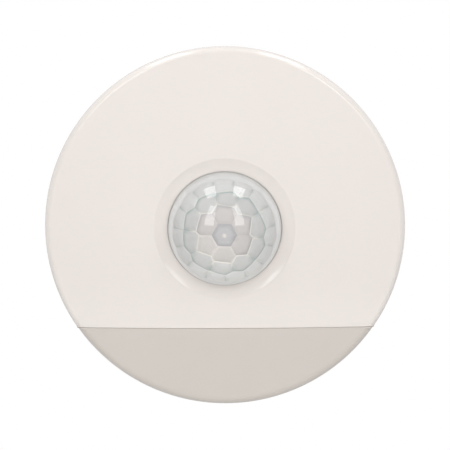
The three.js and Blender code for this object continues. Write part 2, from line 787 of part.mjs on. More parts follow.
add('terminal_block', terminalBlock(), MATERIALS.housingGrey);
for (const [name, x] of Object.entries(POLES)) {
  add(`terminal_screw_${name}`, terminalScrew(x), MATERIALS.steel);
  add(`terminal_clamp_${name}`, terminalClamp(x), MATERIALS.brass);
}

export default sensor;
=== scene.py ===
"""Looks of a round flush-mounted motion sensor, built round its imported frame.

Profiles and outlines are in millimetres in the frame's own axes, with the wall at y = 0, the room
at -Y and up at +Z; new_piece turns them into metres.
"""

import json
import math
import random
from collections import namedtuple

import bmesh
import bpy
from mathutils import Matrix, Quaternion, Vector


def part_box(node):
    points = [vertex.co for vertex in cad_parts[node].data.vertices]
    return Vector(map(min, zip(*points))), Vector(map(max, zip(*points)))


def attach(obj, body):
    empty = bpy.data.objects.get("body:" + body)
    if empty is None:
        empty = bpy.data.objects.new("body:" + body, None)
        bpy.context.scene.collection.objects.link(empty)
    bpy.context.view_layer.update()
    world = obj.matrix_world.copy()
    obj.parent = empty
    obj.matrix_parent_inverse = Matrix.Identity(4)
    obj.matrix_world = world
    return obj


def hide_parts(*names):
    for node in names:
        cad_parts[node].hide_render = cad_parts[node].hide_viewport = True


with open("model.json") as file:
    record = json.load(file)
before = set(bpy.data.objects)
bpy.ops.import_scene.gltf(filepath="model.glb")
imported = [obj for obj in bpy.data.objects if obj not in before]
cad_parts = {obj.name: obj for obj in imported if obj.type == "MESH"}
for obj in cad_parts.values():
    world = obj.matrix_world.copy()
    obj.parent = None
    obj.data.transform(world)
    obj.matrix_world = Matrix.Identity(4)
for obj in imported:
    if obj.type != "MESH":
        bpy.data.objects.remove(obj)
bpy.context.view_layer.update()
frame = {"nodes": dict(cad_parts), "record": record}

MM = 0.001
RECORD = frame["record"]
SLOT_OF_NODE = {part["node"]: part["material_slot"] for part in RECORD["subparts"]}
BODY_OF_NODE = {
    node: body for body, nodes in RECORD["behaviour"]["bodies"].items() for node in nodes
}


def size_of(node):
    """The lowest and highest corner of a CAD node, in millimetres."""
    low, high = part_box(node)
    return low / MM, high / MM


# ------------------------------------------------------------------ driving dimensions

COVER_LOW, COVER_HIGH = size_of("front_cover")
DIFFUSER_HIGH = size_of("light_diffuser")[1]
LENS_LOW, LENS_HIGH = size_of("pir_lens")

DISC_RADIUS = COVER_HIGH.x
CUT_Z = COVER_LOW.z  # straight edge of the cover, over the diffuser
FACE_Y = -10.0  # crown of the face, where it would meet the axis
CROWN_RADIUS = 240
COVER_WALL = 1.8
WIDEST_Y = -4.4

DISH_RADIUS = 15.7
DISH_LIP_SLOPE = 22  # degrees; steepest, where the face has rolled into the dish
DISH_LIP_RADIUS = 0.5
DISH_FOOT_RADIUS = 9.0  # from the lip into the dish
DISH_SLOPES = (19.5, 3)  # degrees; the dish itself, at its outer edge and at the lens
DISH_WALL = 1.4
DISH_BACK_STEP = (1.4, 0.9)  # outside the dish, where the face's back steps to the dish's back
FACE_START = 0.2  # outside the dish
LENS_HOLE_RADIUS = 12.655
HOLE_BACK_ROUND = 0.15
# how the dish turns into the lens hole: outside its radius and behind the dish's floor
HOLE_FRONT_ROUND = ((0.09, 0.0), (0.025, 0.035), (0.0, 0.12))

RIM_BACK_Y = DIFFUSER_HIGH.y  # the cover's rim ends level with the diffuser's
RIM_TAPER = 0.7  # how much narrower the disc is at its back
RIM_WALL = 1.7
RIM_ROUND = (0.15, 0.25)  # of its back edges, inwards and forwards
RIM_CORNER = 2.8  # how far inside the edge the rim meets the back of the face
RIM_CORNER_STEP = 0.6  # from there to the first point on the back of the face
FACE_EDGE_RADIUS = 38.6  # where the face starts to roll over into the rim
CORNER_FILLET = 1.5  # the cover's two lower corners
CUT_EDGE_ROUND = 0.25
CORNER_EDGE_ROUND = 0.8  # the cut's edge where it runs into the corners
CORNER_BLEND = 2.5  # how far from the corners the cut's edge starts to change
CORNER_DROP = 0.8  # of the fillet's inset, by which the edge deepens
LEAN_SPAN = 12  # degrees from a corner, within which the rim's inside turns towards the cut
LEAN_RADII = (30, 36)  # between which that turn sets in
NUDGE = 0.02  # keeps neighbouring points of a profile apart

POST_ANGLES = (45, 135, 208, 332)  # degrees round the axis
POST_RING = 33.5  # how far from the axis the posts stand
POST_RADIUS = 1.5
POST_FOOT_RADIUS = 2.6
POST_FILLET = 0.8
POST_ROOT = 1.2  # behind the front of the face, inside its wall
POST_TIP = (0.3, 0.5)  # how much narrower the tip gets, and over what length
POST_END_Y = COVER_HIGH.y

DIFFUSER_PLAY = 0.05  # how far it stays inside the disc and below the cut
DIFFUSER_RADIUS = DISC_RADIUS - DIFFUSER_PLAY
DIFFUSER_TOP_Z = CUT_Z - DIFFUSER_PLAY
DIFFUSER_CENTRE_Z = -31.0  # where the diffuser's sections meet
DIFFUSER_RISE = DIFFUSER_TOP_Z - DIFFUSER_CENTRE_Z
DIFFUSER_SETBACK = 0.25
DIFFUSER_WALL = 1.5
DIFFUSER_EDGE_RADIUS = 37.7  # where its front starts to roll over into the rim
DIFFUSER_EDGE_ROUND = 0.12
DIFFUSER_CHAMFER = 0.2  # of its rim's back edges
TONGUE_TOP_Z = DIFFUSER_HIGH.z
TONGUE_SHARE = 0.88  # of the length of the straight edge
TONGUE_GAP = 0.3  # behind the back of the face
TONGUE_WALL = 0.9
TONGUE_ROUND = 0.15
TONGUE_SHOULDER = 0.9  # of the way up the tongue, where its tip starts to round
TONGUE_FOOT = 1.6  # below the cut, where its back meets the back of the diffuser

DOME_RADIUS = 12.6
DOME_CENTRE_Y = LENS_LOW.y + DOME_RADIUS
SHELL_WALL = 0.1
FACET_RADIUS = DOME_RADIUS - SHELL_WALL - 0.03  # the cells' outside, just below the shell
FACET_WALL = 0.3
COLLAR_RADIUS = LENS_HOLE_RADIUS - 0.03  # closes the gap round the dome a little below the dish
COLLAR_DEPTH = 0.16  # below the dish's floor
SKIRT_FRONT_Y = DOME_CENTRE_Y - 0.1  # where the wall below the cells starts
FLANGE_FRONT_Y = -5.5  # the lens's flange, behind the cover
FLANGE_BACK_Y = LENS_HIGH.y
FLANGE_RADIUS = LENS_HIGH.x
FLANGE_CHAMFER = 0.1
FLANGE_FILLET = 0.4  # between the collar and the flange

DISTANCE = 0.9  # camera to disc, metres
AZIMUTH = 0.7  # degrees, like the next two
ELEVATION = 7.3
ROLL = 0.29
TARGET_Z = 0.17  # height of the point that the camera looks at
FRAME_WIDTH = 100 * MM  # what the picture covers at the disc, metres
SENSOR_WIDTH = 36.0

ROOM_LIGHT = 0.45  # what the room in front gives, next to a white backdrop of 1
BACKDROP_LIGHT = 0.75  # what the backdrop behind gives
HORIZON = (-0.3, 0.1)  # the part along Y of a direction, between which one changes into the other


# ------------------------------------------------------------------ arithmetic


def lerp(a, b, t):
    return a + (b - a) * t


def spread(start, end, count):
    """count + 1 evenly spaced numbers, both ends among them."""
    return [lerp(start, end, i / count) for i in range(count + 1)]


def smoothstep(low, high, value):
    """0 up to low and 1 from high on, with a soft step between."""
    t = min(1.0, max(0.0, (value - low) / (high - low)))
    return t * t * (3 - 2 * t)


def face_y(radius):
    """Depth of the crowned face at a distance from the axis."""
    return FACE_Y + radius * radius / (2 * CROWN_RADIUS)


def bend(r, y, half_r, half_y, start, end, count):
    """Points of an elliptical arc round (r, y), angles in degrees."""
    return [
        (r + half_r * math.cos(math.radians(a)), y + half_y * math.sin(math.radians(a)))
        for a in spread(start, end, count)
    ]


# ------------------------------------------------------------------ meshes

MESH_WELD = 2e-6  # metres


def new_piece(name, points, faces, sharp_angle, attribute=None):
    """A mesh object from points in millimetres, welded, with its faces pointing out.

    The attribute, if there is one, is its name and a colour for each point.
    """
    mesh = bpy.data.meshes.new(name)
    mesh.from_pydata([Vector(p) * MM for p in points], [], faces)
    if attribute:
        key, colours = attribute
        layer = mesh.attributes.new(key, "FLOAT_COLOR", "CORNER")
        for item, corner in zip(layer.data, mesh.loops):
            item.color = (*colours[corner.vertex_index], 1.0)
    form = bmesh.new()
    form.from_mesh(mesh)
    bmesh.ops.remove_doubles(form, verts=form.verts, dist=MESH_WELD)
    bmesh.ops.recalc_face_normals(form, faces=form.faces)
    limit = math.radians(sharp_angle)
    for face in form.faces:
        face.smooth = True
    for edge in form.edges:
        edge.smooth = len(edge.link_faces) == 2 and edge.calc_face_angle(0.0) < limit
    form.to_mesh(mesh)
    form.free()
    piece = bpy.data.objects.new(name, mesh)
    bpy.context.scene.collection.objects.link(piece)
    return piece


def skin(name, sections, ring_sections, sharp_angle=35):
    """Quads between each section and the next, all the way round. Ring sections are closed."""
    count = len(sections[0])
    points = [p for section in sections for p in section]
    steps = count if ring_sections else count - 1
    faces = []
    for j in range(len(sections)):
        here, after = j * count, (j + 1) % len(sections) * count
        for k in range(steps):
            following = (k + 1) % count
            faces.append((here + k, here + following, after + following, after + k))
    return new_piece(name, points, faces, sharp_angle)


def lathe(name, profile, segments=160, sharp_angle=35, centre=(0, 0)):
    """A round piece about an axis along Y. A profile that starts on the axis also ends on it."""
    on_axis = profile[0][0] == 0
    x, z = centre
    sections = []
    for i in range(segments):
        turn = 2 * math.pi * i / segments
        sections.append(
            [(x + r * math.cos(turn), y, z + r * math.sin(turn)) for r, y in profile]
        )
    return skin(name, sections, ring_sections=not on_axis, sharp_angle=sharp_angle)


def stands_for(piece, node):
    """The piece rides where the CAD node rides and replaces it."""
    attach(piece, BODY_OF_NODE[node])
    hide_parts(node)
    return piece


def join_into(piece, *others):
    """Adds the other objects' meshes to the piece and removes them."""
    form = bmesh.new()
    form.from_mesh(piece.data)
    for other in others:
        form.from_mesh(other.data)
        bpy.data.objects.remove(other)
    form.to_mesh(piece.data)
    form.free()
    return piece


# ------------------------------------------------------------------ cover

FILLET_Z = CUT_Z + CORNER_FILLET  # middle of the fillet at the right corner
FILLET_X = math.sqrt((DISC_RADIUS - CORNER_FILLET) ** 2 - FILLET_Z**2)
CORNER_TURN = math.asin(CUT_Z / DISC_RADIUS)  # angle of the right corner, without its fillet
CORNER_X = DISC_RADIUS * math.cos(CORNER_TURN)
CORNER_GAP = 0.0005  # radians from the rim's last section to the cut's first one
RIM_SECTIONS, CORNER_SECTIONS, CUT_SECTIONS = 300, 6, 120
ROLL_STEPS, FACE_STEPS, INSIDE_STEPS = 12, 18, 8
WALL_POINTS = 12  # in every section, so that all of them join up


def polar(r, y, turn):
    """The point at a radius and an angle round the axis."""
    return (r * math.cos(turn), y, r * math.sin(turn))


def cover_edge(turn):
    """Distance from the axis to the face's outline: the disc, the cut, and a fillet between."""
    across, up = abs(math.cos(turn)), math.sin(turn)
    if up * FILLET_X >= FILLET_Z * across:
        return DISC_RADIUS
    if up * FILLET_X <= CUT_Z * across:
        return CUT_Z / up
    along = across * FILLET_X + up * FILLET_Z
    return along + math.sqrt(along**2 - FILLET_X**2 - FILLET_Z**2 + CORNER_FILLET**2)


def sharp_edge(turn):
    """Distance from the axis to the wall's outline, which has no fillet."""
    up = math.sin(turn)
    return min(DISC_RADIUS, CUT_Z / up) if up < 0 else DISC_RADIUS


def cover_turns():
    """Angles of the cover's sections, close together round the two corners.

    They come as three runs: the rim up to the left corner, the cut, and the rest of the rim.
    """
    arc_start = math.atan2(FILLET_Z, FILLET_X)
    cut_start = math.atan2(CUT_Z, FILLET_X)
    arc = spread(arc_start, math.pi - arc_start, RIM_SECTIONS)
    left = spread(math.pi - arc_start, math.pi - CORNER_TURN, CORNER_SECTIONS)[1:]
    left_cut = spread(math.pi - CORNER_TURN + CORNER_GAP, math.pi - cut_start, CORNER_SECTIONS - 1)
    straight = [math.atan2(CUT_Z, x) for x in spread(-FILLET_X, FILLET_X, CUT_SECTIONS)[1:-1]]
    right_cut = spread(cut_start, CORNER_TURN - CORNER_GAP, CORNER_SECTIONS - 1)
    right = spread(CORNER_TURN, arc_start, CORNER_SECTIONS)[:-1]
    return arc + left, left_cut + straight + right_cut, right


def hollow(start, radius, steep, gentle, count):
    """Points of a hollow arc that runs on from a point towards the axis, as its slope eases."""
    r, y = start
    centre_r, centre_y = r - radius * math.sin(steep), y - radius * math.cos(steep)
    return [
        (centre_r + radius * math.sin(a), centre_y + radius * math.cos(a))
        for a in spread(steep, gentle, count)[1:]
    ]


def dish_profile():
    """The dish from the lens hole out to the face, and the depth of its floor."""
    top_y = face_y(DISH_RADIUS)
    steep = math.radians(DISH_LIP_SLOPE)
    outer, inner = (math.radians(slope) for slope in DISH_SLOPES)
    lip = [
        (DISH_RADIUS - DISH_LIP_RADIUS * math.sin(a), top_y + DISH_LIP_RADIUS * (1 - math.cos(a)))
        for a in spread(0, steep, 6)
    ]
    foot = hollow(lip[-1], DISH_FOOT_RADIUS, steep, outer, 6)
    bowl_end = LENS_HOLE_RADIUS + HOLE_FRONT_ROUND[0][0]
    bowl_radius = (foot[-1][0] - bowl_end) / (math.sin(outer) - math.sin(inner))
    bowl = hollow(foot[-1], bowl_radius, outer, inner, 10)
    floor_y = bowl[-1][1]
    hole = [(LENS_HOLE_RADIUS + wider, floor_y + deeper) for wider, deeper in HOLE_FRONT_ROUND[1:]]
    profile = lip + foot + bowl + hole
    return profile[::-1], floor_y


def cut_side(turn):
    """Where the face ends at the cut, points down its edge, and where the inside starts."""
    edge = sharp_edge(turn)
    inset = edge - cover_edge(turn)
    slant = edge / -CUT_Z
    near_corner = smoothstep(CORNER_X - CORNER_BLEND, CORNER_X, abs(edge * math.cos(turn)))
    edge_round = lerp(CUT_EDGE_ROUND, CORNER_EDGE_ROUND, near_corner)
    face_end = edge - inset - edge_round * slant
    drop = edge_round + CORNER_DROP * inset
    roll = [
        (face_end + (edge - face_end) * math.sin(a), face_y(face_end) + drop * (1 - math.cos(a)))
        for a in spread(0, math.pi / 2, ROLL_STEPS)[1:]
    ]
    inside_y = face_y(edge) + COVER_WALL
    wall = [(edge, y) for y in spread(roll[-1][1], inside_y, WALL_POINTS)[1:]]
    return face_end, roll, wall, edge - NUDGE


def rim_side(turn):
    """Where the face ends at the rim, points over and round it, and where the inside starts."""
    edge = sharp_edge(turn)
    face_end = FACE_EDGE_RADIUS - (edge - cover_edge(turn))
    height = WIDEST_Y - face_y(face_end)
    roll = bend(face_end, WIDEST_Y, edge - face_end, height, 270, 360, ROLL_STEPS)[1:]
    back = edge - RIM_TAPER
    back_inside = back - RIM_WALL
    inside = edge - RIM_WALL
    corner_y = face_y(DISC_RADIUS - RIM_CORNER) + COVER_WALL
    round_in, round_on = RIM_ROUND
    part_in, part_on = 0.2 * round_in, 0.4 * round_on
    wall = [
        # the outside, tapering to the back
        (edge - NUDGE, WIDEST_Y + 0.6),
        (lerp(edge, back, 0.4), lerp(WIDEST_Y, RIM_BACK_Y, 0.5)),
        # the rounded back edge
        (back + NUDGE, RIM_BACK_Y - round_on),
        (back - part_in, RIM_BACK_Y - part_on),
        (back - round_in, RIM_BACK_Y),
        (back_inside + round_in, RIM_BACK_Y),
        (back_inside + part_in, RIM_BACK_Y - part_on),
        (back_inside, RIM_BACK_Y - round_on),
        # the inside, hollowed towards the back of the face
        (inside - 0.1, WIDEST_Y),
        (inside - 0.3, WIDEST_Y - 0.6),
        (inside - 0.6, WIDEST_Y - 0.9),
        (edge - RIM_CORNER, corner_y),
    ]
    return face_end, roll, wall, edge - RIM_CORNER - RIM_CORNER_STEP


def corner_lean(turn, r):
    """How far a point of the rim's inside turns off its ray near a corner, to end along the cut."""
    if r <= -CUT_Z:
        return 0.0
    away = min(turn - CORNER_TURN, math.pi - CORNER_TURN - turn)
    near = 1 - smoothstep(0.0, math.radians(LEAN_SPAN), away)
    to_cut = math.asin(CUT_Z / r) - math.asin(CUT_Z / max(sharp_edge(turn), r))
    lean = near * smoothstep(*LEAN_RADII, r) * to_cut
    return lean if math.cos(turn) > 0 else -lean


def cover_section(turn, on_cut):
    """One closed section of the cover along a ray from the axis."""
    dish, dish_floor = dish_profile()
    face_end, roll, wall, inside_start = cut_side(turn) if on_cut else rim_side(turn)
    face = [(r, face_y(r)) for r in spread(DISH_RADIUS + FACE_START, face_end, FACE_STEPS)]
    inside_end, behind_start = (DISH_RADIUS + step for step in DISH_BACK_STEP)
    inside = [(r, face_y(r) + COVER_WALL) for r in spread(inside_start, inside_end, INSIDE_STEPS)]
    dish_back = dish_floor + DISH_WALL
    behind = [
        (behind_start, dish_back),
        (LENS_HOLE_RADIUS + HOLE_BACK_ROUND, dish_back),
        (LENS_HOLE_RADIUS, dish_back - HOLE_BACK_ROUND),
    ]
    section = [polar(r, y, turn) for r, y in dish + face + roll]
    for r, y in wall + inside:
        lean = 0.0 if on_cut else corner_lean(turn, r)
        section.append(polar(r, y, turn + lean))
    return section + [polar(r, y, turn) for r, y in behind]


def cover_post(angle):
    """A post behind the face that plugs into a hole in the frame, with a fillet at its foot."""
    x, _, z = polar(POST_RING, 0, math.radians(angle))
    face_front = face_y(POST_RING)
    root_y = face_front + POST_ROOT
    foot_y = face_front + COVER_WALL + POST_FILLET
    narrower, length = POST_TIP
    profile = [
        (0, root_y),
        (POST_FOOT_RADIUS - narrower, root_y),
        *bend(POST_FOOT_RADIUS, foot_y, POST_FOOT_RADIUS - POST_RADIUS, POST_FILLET, 270, 180, 5),
        (POST_RADIUS, POST_END_Y - length),
        (POST_RADIUS - narrower, POST_END_Y),
        (0, POST_END_Y),
    ]
    return lathe("post", profile, segments=32, centre=(x, z))


def front_cover():
    """The cover's shell with its posts."""
    before_cut, along_cut, after_cut = cover_turns()
    sections = [cover_section(turn, False) for turn in before_cut]
    sections += [cover_section(turn, True) for turn in along_cut]
    sections += [cover_section(turn, False) for turn in after_cut]
    cover = skin("cover_shell", sections, ring_sections=True, sharp_angle=40)
    join_into(cover, *[cover_post(angle) for angle in POST_ANGLES])
    return stands_for(cover, "front_cover")


# ------------------------------------------------------------------ diffuser

BOTTOM_SECTIONS = 240
TOP_INSET = 0.05  # from the diffuser's corners to the top's first and last sections
TURN_GAP = 0.002  # radians from its corners to the bottom's first and last sections


def along_ray(turn, radius):
    """How far a ray from the diffuser's middle runs before it is this far from the disc's axis."""
    along = math.sin(turn) * DIFFUSER_CENTRE_Z
    return -along + math.sqrt(along**2 - DIFFUSER_CENTRE_Z**2 + radius**2)


def on_ray(turn, distance, y):
    """The point at a distance from the diffuser's middle."""
    return (distance * math.cos(turn), y, DIFFUSER_CENTRE_Z + distance * math.sin(turn))


def diffuser_front(radius):
    return face_y(radius) + DIFFUSER_SETBACK


def front_point(turn, distance, behind=0.0):
    """The point of the diffuser's front at a distance from its middle, or one behind it."""
    x, _, z = on_ray(turn, distance, 0)
    return (x, diffuser_front(math.hypot(x, z)) + behind, z)


def tongue_front(x, z):
    """Depth of the tongue's front, which follows the back of the cover's face."""
    return face_y(math.hypot(x, z)) + COVER_WALL + TONGUE_GAP


def top_side(turn):
    """Where the front ends at the cut, points round the tongue, and where the inside starts.

    The tongue reaches up behind the cover's face and keeps the diffuser in place.
    """
    top = DIFFUSER_RISE / math.sin(turn)
    front_end = top - min(DIFFUSER_EDGE_ROUND / math.sin(turn), 0.3 * top)
    front_y = front_point(turn, front_end)[1]
    edge = [
        on_ray(
            turn,
            lerp(front_end, top, math.sin(a)),
            front_y + DIFFUSER_EDGE_ROUND * (1 - math.cos(a)),
        )
        for a in spread(0, math.pi / 2, 6)[1:]
    ]
    x = top * math.cos(turn)
    lip_y = tongue_front(x, DIFFUSER_TOP_Z)
    tip_x = x * TONGUE_SHARE
    tip_y = tongue_front(tip_x, TONGUE_TOP_Z)
    shoulder_x, shoulder_y = lerp(x, tip_x, TONGUE_SHOULDER), lerp(lip_y, tip_y, TONGUE_SHOULDER)
    shoulder_z = TONGUE_TOP_Z - 2 * TONGUE_ROUND
    foot_z = DIFFUSER_TOP_Z - TONGUE_FOOT
    back = [
        (x, lerp(edge[-1][1], lip_y, 0.5), DIFFUSER_TOP_Z),
        (x, lip_y, DIFFUSER_TOP_Z),
        (shoulder_x, shoulder_y, shoulder_z),
        (tip_x, tip_y + TONGUE_ROUND, TONGUE_TOP_Z),
        (tip_x, tip_y + TONGUE_WALL - TONGUE_ROUND, TONGUE_TOP_Z),
        (shoulder_x, shoulder_y + TONGUE_WALL, shoulder_z),
        (x * 0.97, lip_y + TONGUE_WALL, DIFFUSER_TOP_Z),
        (x * 0.95, lip_y + TONGUE_WALL - TONGUE_ROUND, foot_z),
    ]
    return front_end, edge + back, (foot_z - DIFFUSER_CENTRE_Z - 0.4) / math.sin(turn)


def bottom_side(turn):
    """Where the front ends at the rim, points over and round it, and where the inside starts."""
    height = WIDEST_Y - diffuser_front(DIFFUSER_EDGE_RADIUS)
    width = DIFFUSER_RADIUS - DIFFUSER_EDGE_RADIUS
    back = DIFFUSER_RADIUS - RIM_TAPER
    inside = DIFFUSER_EDGE_RADIUS - 1
    profile = [
        *bend(DIFFUSER_EDGE_RADIUS, WIDEST_Y, width, height, 270, 360, 6)[1:],
        (lerp(DIFFUSER_RADIUS, back, 0.5), lerp(WIDEST_Y, RIM_BACK_Y, 0.5)),
        (back, RIM_BACK_Y - DIFFUSER_CHAMFER),
        (back - DIFFUSER_CHAMFER, RIM_BACK_Y),
        (back - DIFFUSER_WALL + DIFFUSER_CHAMFER, RIM_BACK_Y),
        (back - DIFFUSER_WALL, RIM_BACK_Y - DIFFUSER_CHAMFER),
        (DIFFUSER_RADIUS - DIFFUSER_WALL - 0.1, WIDEST_Y),
        (DIFFUSER_RADIUS - DIFFUSER_WALL - 0.5, WIDEST_Y - 0.6),
        (inside, diffuser_front(inside) + DIFFUSER_WALL),
    ]
    points = [on_ray(turn, along_ray(turn, r), y) for r, y in profile]
    return along_ray(turn, DIFFUSER_EDGE_RADIUS), points, along_ray(turn, inside - 0.6)


def diffuser_section(turn, on_top):
    """One open section of the diffuser, from the middle of its front to the middle of its back."""
    front_end, side, inside_start = top_side(turn) if on_top else bottom_side(turn)
    front = [front_point(turn, front_end * t) for t in spread(0, 1, 12)]
    inside = [front_point(turn, inside_start * t, DIFFUSER_WALL) for t in spread(1, 0, 10)]
    return front + side + inside


def light_diffuser():
    """The frosted segment below the cut, with its tongue."""
    corner_x = math.sqrt(DIFFUSER_RADIUS**2 - DIFFUSER_TOP_Z**2)
    corner = math.atan2(DIFFUSER_RISE, corner_x)
    top_xs = spread(corner_x - TOP_INSET, TOP_INSET - corner_x, CUT_SECTIONS)
    first, last = math.pi - corner + TURN_GAP, 2 * math.pi + corner - TURN_GAP
    sections = [diffuser_section(math.atan2(DIFFUSER_RISE, x), True) for x in top_xs]
    sections += [diffuser_section(turn, False) for turn in spread(first, last, BOTTOM_SECTIONS)]
    piece = skin("night_light_diffuser", sections, ring_sections=False, sharp_angle=40)
    return stands_for(piece, "light_diffuser")


# ------------------------------------------------------------------ lens

# Rings of lens cells from the dome's middle outwards: how many cells, how far out in degrees, where
# the first one stands, their colour, how strong the painted highlight along their inner edges is,
# and the colour and strength of the painted shade at their outer edges
CellRing = namedtuple("CellRing", "count tilt first tint shine edge depth")
# cream is the colour of the painted highlights and lit cells; lilac and teal of the painted shade
# at the cells' edges
CREAM = Vector((1.0, 0.95, 0.88))
LILAC = Vector((0.36, 0.36, 0.41))
TEAL = Vector((0.24, 0.38, 0.37))
RINGS = (
    CellRing(1, 0.0, 0.0, Vector((0.65, 0.635, 0.645)), 0.0, LILAC, 0.5),
    CellRing(6, 23.8, 30.0, Vector((0.715, 0.67, 0.65)), 0.15, LILAC, 0.55),
    CellRing(10, 38.5, 13.5, Vector((0.675, 0.67, 0.66)), 0.9, TEAL, 0.9),
    CellRing(15, 60.5, 19.0, Vector((0.72, 0.72, 0.715)), 0.5, TEAL, 0.75),
    CellRing(20, 82.0, 0.0, Vector((0.93, 0.93, 0.93)), 0.0, TEAL, 0.0),
)
SMOOTH_RING = len(RINGS) - 1
PAINTED_LIT_CELLS = (210, 270)  # the two cells of the first ring painted cream, painted light where the room's light shines through
BORDER_TILTS = (73, 77)  # degrees, between which the cells' groove rises to the smooth border
RIM_STEP = 1.5  # degrees, roughly, between two points of a cell's rim
PLACE_SEED, TONE_SEED = 7, 3
TILT_SHIFT, TURN_SHIFT = 1.0, 2.0  # degrees, at most, by which a cell's middle is shifted
TONES = (0.97, 1.03)
GROOVE = 0.5  # how deep the grooves between cells lie
PAINTED_GLOW = 0.3  # painted glow: the lowest cells' colour is brighter by this, for light that crosses the milky dome
BORDER_PAINTED_SHADE = 0.16  # painted shade: the smooth border's colour is darker by this at the top, where the cover shades it
AXIS = Vector((0, -1, 0))

# Shares of the way from a cell's middle to its rim: where its mesh has loops, and between which of
# them each change of colour, painted shade and highlights among them, happens
CELL_LOOPS = (0.1, 0.25, 0.4, 0.53, 0.64, 0.74, 0.82, 0.88, 0.93, 0.97, 1.0)
PAINTED_GLINT_SPAN = (0.06, 0.18)  # end of the painted highlight, a bright dot, in the middle cell
MIDDLE_SHADE_SPAN = (0.45, 1.0)
PAINTED_LIT_SPAN = (0.75, 0.98)
SHADE_START, OUTER_SHADE_START = 0.4, 0.75
PAINTED_HIGHLIGHT_SPAN = (0.9, 0.94)
GROOVE_SHADE_SPAN = (0.96, 1.0)
PAINTED_LIT_SHINE = (0.15, 0.6)  # how cream the lit cells are painted, in the middle and at the rim
# how strong the painted shade in the groove at each cell's rim is
GROOVE_SHADE_DEPTH = 0.35


def dome_direction(tilt, around):
    """Unit vector that leans by tilt from the room side, in degrees, at an angle round the axis."""
    t, a = math.radians(tilt), math.radians(around)
    return Vector((math.sin(t) * math.cos(a), -math.cos(t), math.sin(t) * math.sin(a)))


def tilt_of(direction):
    return math.degrees(direction.angle(AXIS))


def cell_seeds():
    """For every cell its ring, its place round the axis and the direction of its middle."""
    rng = random.Random(PLACE_SEED)
    seeds = []
    for number, ring in enumerate(RINGS):
        for i in range(ring.count):
            loose = 0.0 if number in (0, SMOOTH_RING) else 1.0
            around = ring.first + 360 * i / ring.count
            tilt = ring.tilt + loose * rng.uniform(-TILT_SHIFT, TILT_SHIFT)
            shift = loose * rng.uniform(-TURN_SHIFT, TURN_SHIFT)
            direction = dome_direction(tilt, around + shift)
            seeds.append((number, around, direction))
    return seeds


def clip(polygon, normal):
    """The part of a polygon on the normal's side of a plane through the dome's centre."""
    kept = []
    for a, b in zip(polygon, polygon[1:] + polygon[:1]):
        side_a, side_b = a.dot(normal), b.dot(normal)
        if side_a >= 0:
            kept.append(a)
        if side_a * side_b < 0:
            kept.append(a.lerp(b, side_a / (side_a - side_b)))
    return kept


def cell_outline(seed, seeds):
    """Corners of the cell round a seed, on the sphere, in order."""
    across = seed.orthogonal().normalized()
    up = seed.cross(across)
    reach = 3.0  # wide enough for any cell, on a sphere of radius 1
    polygon = [
        seed + across * (reach * math.cos(a)) + up * (reach * math.sin(a))
        for a in spread(0, 2 * math.pi, 24)[:-1]
    ]
    for _, _, other in seeds:
        if other is not seed:
            polygon = clip(polygon, seed - other)
    polygon = clip(polygon, AXIS)
    return [p.normalized() for p in polygon]


def cell_colour(number, around, reach, facing):
    """Colour at a share of the way from a cell's middle to its rim, with painted light in it:
    painted shade towards the rims, painted highlights along the inner edges and in the middle,
    cream lit cells.

    Facing is 1 on the side away from the dome's middle and -1 on the side towards it.
    """
    ring = RINGS[number]
    if number == SMOOTH_RING:
        return ring.tint
    if number == 0:
        # painted shade towards the middle cell's rim
        painted_shade = ring.depth * smoothstep(*MIDDLE_SHADE_SPAN, reach)
        # painted highlight: a bright dot painted in the middle cell
        painted_glint = 1 - smoothstep(*PAINTED_GLINT_SPAN, reach)
        return ring.tint.lerp(ring.edge, painted_shade).lerp(CREAM, painted_glint)
    # painted light: these cells are painted cream towards their rim
    if number == 1 and around in PAINTED_LIT_CELLS:
        return ring.tint.lerp(CREAM, lerp(*PAINTED_LIT_SHINE, smoothstep(*PAINTED_LIT_SPAN, reach)))
    start = OUTER_SHADE_START if number == SMOOTH_RING - 1 else SHADE_START
    # painted shade towards each cell's outer edge
    painted_shade = ring.depth * smoothstep(start, 1.0, reach) * smoothstep(-0.5, 0.9, facing)
    # painted highlight: a cream line along each cell's inner edge
    painted_highlight = ring.shine * smoothstep(*PAINTED_HIGHLIGHT_SPAN, reach) * smoothstep(0.1, 0.6, -facing)
    # painted shade in the groove at each cell's rim
    painted_groove_shade = GROOVE_SHADE_DEPTH * smoothstep(*GROOVE_SHADE_SPAN, reach)
    return ring.tint.lerp(ring.edge, painted_shade).lerp(CREAM, painted_highlight).lerp(ring.edge, painted_groove_shade)


def cell_rim(seed, seeds):
    """Closely spaced directions round the rim of the cell round a seed."""
    outline = cell_outline(seed, seeds)
    rim = []
    for a, b in zip(outline, outline[1:] + outline[:1]):
        pieces = max(2, round(math.degrees(a.angle(b)) / RIM_STEP))
        rim += [a.lerp(b, i / pieces).normalized() for i in range(pieces)]
    return rim


def cell_sink(number, share, direction):
    """How far a cell's surface lies below the dome."""
    if number == SMOOTH_RING:
        return GROOVE * (1 - smoothstep(*BORDER_TILTS, tilt_of(direction)))
    return GROOVE * share**3


